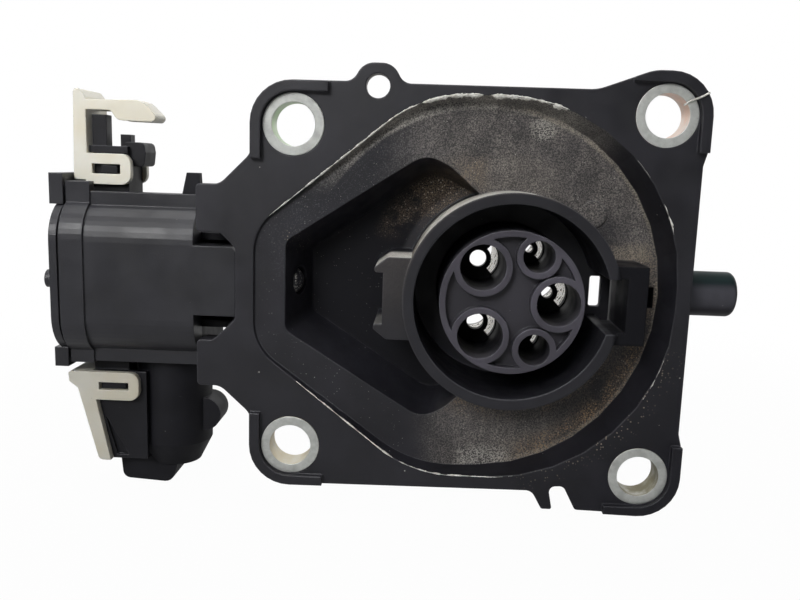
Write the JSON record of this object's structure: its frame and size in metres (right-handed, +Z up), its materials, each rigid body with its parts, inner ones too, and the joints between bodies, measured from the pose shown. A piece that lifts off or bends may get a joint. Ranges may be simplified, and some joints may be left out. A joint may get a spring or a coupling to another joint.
{
  "type": "charge port inlet",
  "caption": "Vehicle charge port inlet: a dished flange with a round plug socket and contact tower, a lock actuator whose gear train slides a locking bolt, and a drain stub.",
  "frame": {"origin": "on the plug socket's axis, at the front face of the flange", "axes": "+X to the right and +Z up as seen by someone plugging in; +Y into the vehicle, so the plug arrives along +Y"},
  "size_m": [0.1712, 0.0426, 0.1079],
  "materials": {
    "housing_plastic": "satin moulded black plastic, dusty",
    "insert_plastic": "satin moulded black plastic",
    "actuator_plastic": "satin moulded black plastic",
    "connector_plastic": "black plastic",
    "nipple_plastic": "black plastic",
    "bolt_plastic": "black filled plastic",
    "gear_plastic": "natural gear plastic",
    "ivory_nylon": "ivory nylon",
    "rubber": "black rubber",
    "bushing_steel": "zinc-plated steel, tinted",
    "zinc_steel": "zinc-plated steel",
    "motor_steel": "drawn steel",
    "brass": "machined brass",
    "board": "green circuit board"
  },
  "bodies": {
    "inlet": {"inlet_housing": "housing_plastic", "contact_insert": "insert_plastic", "insert_seal": "rubber", "insert_screws": "zinc_steel", "bushing_top_left": "bushing_steel", "bushing_bottom_left": "bushing_steel", "bushing_top_right": "bushing_steel", "bushing_bottom_right": "bushing_steel", "drain_nipple": "nipple_plastic", "actuator_cover": "actuator_plastic", "actuator_base": "actuator_plastic", "actuator_end_cap": "actuator_plastic", "end_cap_seal": "rubber", "actuator_screws": "zinc_steel", "bolt_seal": "rubber", "sensor_board": "board", "gear_axle": "zinc_steel", "lock_motor": "motor_steel", "upper_connector": "connector_plastic", "upper_retainer": "ivory_nylon", "lower_connector": "connector_plastic", "lower_retainer": "ivory_nylon"},
    "bolt": {"lock_bolt": "bolt_plastic", "sensor_magnet": "motor_steel"},
    "gear": {"drive_gear": "gear_plastic"},
    "pinion": {"motor_pinion": "brass"}
  },
  "joints": [
    {"name": "gear_spin", "type": "hinge", "parent": "inlet", "child": "gear", "pos_m": [-0.096, 0.0162, 0], "axis": [0, 0, 1], "range_deg": [0, 100.3]},
    {"name": "bolt_slide", "type": "slide", "parent": "inlet", "child": "bolt", "axis": [1, 0, 0], "range_m": [0, 0.007]},
    {"name": "pinion_spin", "type": "hinge", "parent": "inlet", "child": "pinion", "pos_m": [-0.0855, 0.02064, 0], "axis": [0, 0, 1], "range_deg": [-281, 0]}
  ],
  "couplings": [
    {"joint": "gear_spin", "follows": "bolt_slide", "rad_per_m": 250},
    {"joint": "pinion_spin", "follows": "bolt_slide", "rad_per_m": -700}
  ]
}
